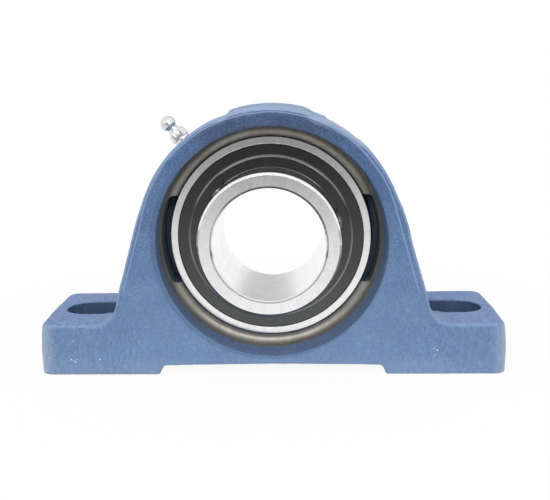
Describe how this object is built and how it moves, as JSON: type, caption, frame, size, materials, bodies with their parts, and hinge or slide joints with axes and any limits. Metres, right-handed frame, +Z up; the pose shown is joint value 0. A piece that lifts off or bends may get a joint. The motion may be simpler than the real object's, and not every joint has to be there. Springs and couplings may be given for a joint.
{
  "type": "pillow block bearing",
  "caption": "Cast-iron pillow block with slotted feet holding a self-aligning, set-screw insert ball bearing with rubber seals and a grease nipple.",
  "frame": {"origin": "centre of the base, midway between the two bolt slots, on the plane the feet stand on", "axes": "+X along the base, +Y along the shaft away from the long end of the inner ring, +Z up"},
  "size_m": [0.193, 0.0572, 0.1091],
  "materials": {
    "housing_enamel": "blue enamel over sand-cast grey iron, bare machined seat",
    "ring_steel": "ground and turned bearing steel",
    "ball_steel": "polished bearing steel",
    "cage_steel": "pressed sheet and drawn wire",
    "seal_rubber": "black nitrile rubber",
    "flinger_coat": "pressed steel with a black rubber coat",
    "screw_steel": "blackened alloy steel",
    "nipple_zinc": "bright zinc plate"
  },
  "bodies": {
    "housing": {"housing": "housing_enamel", "grease_nipple": "nipple_zinc", "nipple_spring": "cage_steel"},
    "check_ball": {"nipple_ball": "ball_steel"},
    "outer": {"outer_ring": "ring_steel", "seal_front": "seal_rubber", "seal_rear": "seal_rubber", "seal_core_front": "cage_steel", "seal_core_rear": "cage_steel"},
    "inner": {"inner_ring": "ring_steel", "flinger_front": "flinger_coat", "flinger_rear": "flinger_coat"},
    "screw_1": {"set_screw_1": "screw_steel"},
    "screw_2": {"set_screw_2": "screw_steel"},
    "cage": {"cage_front": "cage_steel", "cage_rear": "cage_steel", "cage_rivets": "cage_steel"},
    "rolling_ball_1": {"ball_1": "ball_steel"},
    "rolling_ball_2": {"ball_2": "ball_steel"},
    "rolling_ball_3": {"ball_3": "ball_steel"},
    "rolling_ball_4": {"ball_4": "ball_steel"},
    "rolling_ball_5": {"ball_5": "ball_steel"},
    "rolling_ball_6": {"ball_6": "ball_steel"},
    "rolling_ball_7": {"ball_7": "ball_steel"},
    "rolling_ball_8": {"ball_8": "ball_steel"},
    "rolling_ball_9": {"ball_9": "ball_steel"}
  },
  "joints": [
    {"name": "insert_swivel", "type": "hinge", "parent": "housing", "child": "outer", "pos_m": [0, 0, 0.054], "axis": [1, 0, 0], "range_deg": [-2, 2]},
    {"name": "shaft_spin", "type": "hinge", "parent": "outer", "child": "inner", "pos_m": [0, 0, 0.054], "axis": [0, 1, 0], "continuous": true},
    {"name": "cage_spin", "type": "hinge", "parent": "outer", "child": "cage", "pos_m": [0, 0, 0.054], "axis": [0, 1, 0], "continuous": true},
    {"name": "check_ball_lift", "type": "slide", "parent": "housing", "child": "check_ball", "axis": [0.6743, 0, -0.7385], "range_m": [0, 0.0008], "stiffness_N_per_m": 150, "springref_m": -0.001, "deforming": ["nipple_spring"]},
    {"name": "screw_1_travel", "type": "slide", "parent": "inner", "child": "screw_1", "axis": [0.9613, 0, 0.2756], "range_m": [-0.0003, 0.004]},
    {"name": "screw_2_travel", "type": "slide", "parent": "inner", "child": "screw_2", "axis": [-0.7193, 0, 0.6947], "range_m": [-0.0003, 0.004]},
    {"name": "ball_1_roll", "type": "hinge", "parent": "cage", "child": "rolling_ball_1", "pos_m": [0, 0, 0.0865], "axis": [0, 1, 0], "continuous": true},
    {"name": "ball_2_roll", "type": "hinge", "parent": "cage", "child": "rolling_ball_2", "pos_m": [-0.02089, 0, 0.0789], "axis": [0, 1, 0], "continuous": true},
    {"name": "ball_3_roll", "type": "hinge", "parent": "cage", "child": "rolling_ball_3", "pos_m": [-0.03201, 0, 0.05964], "axis": [0, 1, 0], "continuous": true},
    {"name": "ball_4_roll", "type": "hinge", "parent": "cage", "child": "rolling_ball_4", "pos_m": [-0.02815, 0, 0.03775], "axis": [0, 1, 0], "continuous": true},
    {"name": "ball_5_roll", "type": "hinge", "parent": "cage", "child": "rolling_ball_5", "pos_m": [-0.01112, 0, 0.02346], "axis": [0, 1, 0], "continuous": true},
    {"name": "ball_6_roll", "type": "hinge", "parent": "cage", "child": "rolling_ball_6", "pos_m": [0.01112, 0, 0.02346], "axis": [0, 1, 0], "continuous": true},
    {"name": "ball_7_roll", "type": "hinge", "parent": "cage", "child": "rolling_ball_7", "pos_m": [0.02815, 0, 0.03775], "axis": [0, 1, 0], "continuous": true},
    {"name": "ball_8_roll", "type": "hinge", "parent": "cage", "child": "rolling_ball_8", "pos_m": [0.03201, 0, 0.05964], "axis": [0, 1, 0], "continuous": true},
    {"name": "ball_9_roll", "type": "hinge", "parent": "cage", "child": "rolling_ball_9", "pos_m": [0.02089, 0, 0.0789], "axis": [0, 1, 0], "continuous": true}
  ],
  "couplings": [
    {"joint": "cage_spin", "follows": "shaft_spin", "ratio": 0.40231},
    {"joint": "ball_1_roll", "follows": "shaft_spin", "ratio": -2.4614},
    {"joint": "ball_2_roll", "follows": "shaft_spin", "ratio": -2.4614},
    {"joint": "ball_3_roll", "follows": "shaft_spin", "ratio": -2.4614},
    {"joint": "ball_4_roll", "follows": "shaft_spin", "ratio": -2.4614},
    {"joint": "ball_5_roll", "follows": "shaft_spin", "ratio": -2.4614},
    {"joint": "ball_6_roll", "follows": "shaft_spin", "ratio": -2.4614},
    {"joint": "ball_7_roll", "follows": "shaft_spin", "ratio": -2.4614},
    {"joint": "ball_8_roll", "follows": "shaft_spin", "ratio": -2.4614},
    {"joint": "ball_9_roll", "follows": "shaft_spin", "ratio": -2.4614}
  ]
}
